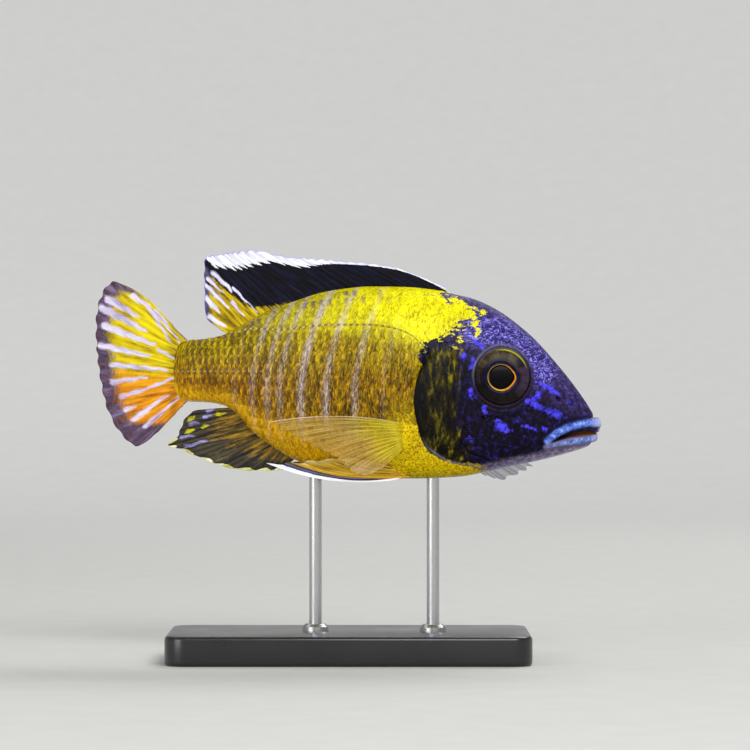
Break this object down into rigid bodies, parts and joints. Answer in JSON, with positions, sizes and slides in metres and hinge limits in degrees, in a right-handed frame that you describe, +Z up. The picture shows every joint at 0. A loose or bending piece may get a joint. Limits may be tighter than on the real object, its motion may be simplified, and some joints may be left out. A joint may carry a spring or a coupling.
{
  "type": "peacock cichlid on a display stand",
  "caption": "Life-size male peacock cichlid in mid swim, tail swung to its left, held by two rods over a flat base.",
  "frame": {"origin": "centre of the underside of the stand's base, where it rests", "axes": "+X towards the fish's head, +Y to the fish's left, +Z up; the pictured flank is the one that faces -Y"},
  "size_m": [0.1201, 0.0465, 0.098],
  "materials": {
    "head_skin": "wet fish skin, deep blue",
    "lip_skin": "wet fish skin, light blue",
    "gill_skin": "wet scaled skin, black and olive",
    "eye": "wet, glossy, clear over a dark iris",
    "flank_skin": "wet scaled skin, golden yellow",
    "fin_dark": "thin wet fin membrane, black with a pale edge",
    "fin_yellow": "thin wet fin membrane, yellow with pale streaks",
    "fin_clear": "thin wet fin membrane, partly clear",
    "stand_black": "satin black",
    "stand_steel": "brushed"
  },
  "bodies": {
    "root": {"head": "head_skin", "upper_lip": "lip_skin", "lower_jaw": "lip_skin", "gill_cover_right": "gill_skin", "gill_cover_left": "gill_skin", "eye_right": "eye", "eye_left": "eye", "trunk": "flank_skin", "tail": "flank_skin", "dorsal_fin": "fin_dark", "anal_fin": "fin_dark", "caudal_fin": "fin_yellow", "pelvic_fin_right": "fin_clear", "pelvic_fin_left": "fin_clear", "pectoral_fin_right": "fin_clear", "pectoral_fin_left": "fin_clear", "stand_base": "stand_black", "stand_rod_front": "stand_steel", "stand_rod_rear": "stand_steel"}
  },
  "joints": []
}
